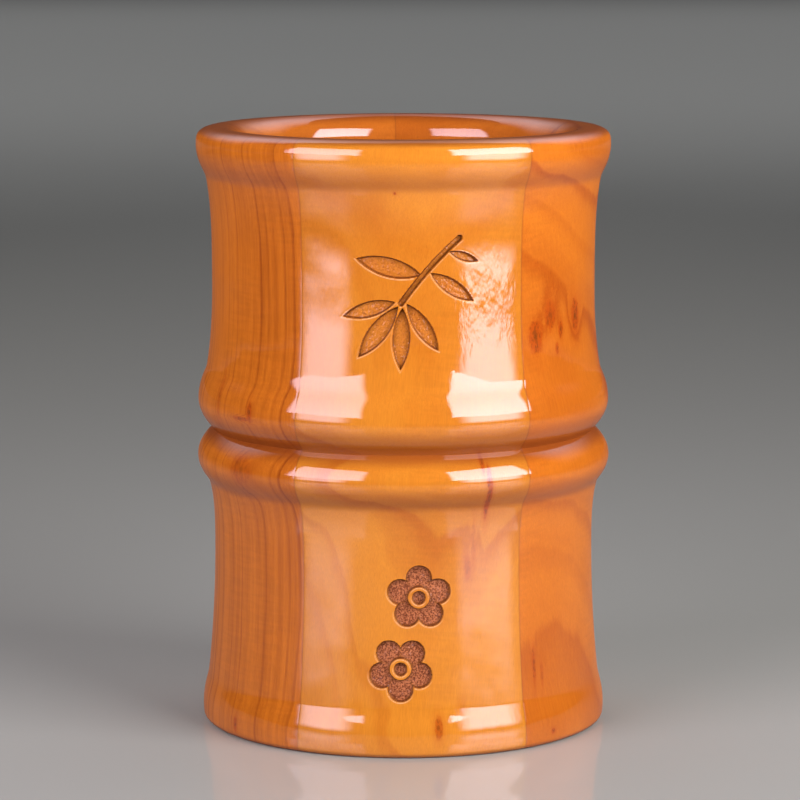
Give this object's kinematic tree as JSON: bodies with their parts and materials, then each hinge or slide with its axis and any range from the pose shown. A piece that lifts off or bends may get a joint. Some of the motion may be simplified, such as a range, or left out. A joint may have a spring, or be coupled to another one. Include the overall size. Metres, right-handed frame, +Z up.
{
  "type": "brush holder pot",
  "caption": "Round turned wooden brush pot in two bamboo-like segments with a rolled rim, glued from upright staves around a floor disc, with carved leaf and blossom ornament.",
  "frame": {"origin": "centre of the foot, on the surface that the pot stands on", "axes": "+Z up along the pot's axis, -Y towards the carved front, +X to the right seen from the front"},
  "size_m": [0.1, 0.1, 0.1443],
  "materials": {
    "front_wood": "clear gloss lacquer",
    "stave_wood": "clear gloss lacquer",
    "floor_wood": "clear gloss lacquer"
  },
  "bodies": {
    "root": {"stave_front": "front_wood", "stave_right": "stave_wood", "stave_back_right": "stave_wood", "stave_back_left": "stave_wood", "stave_left": "stave_wood", "floor_disc": "floor_wood"}
  },
  "joints": []
}
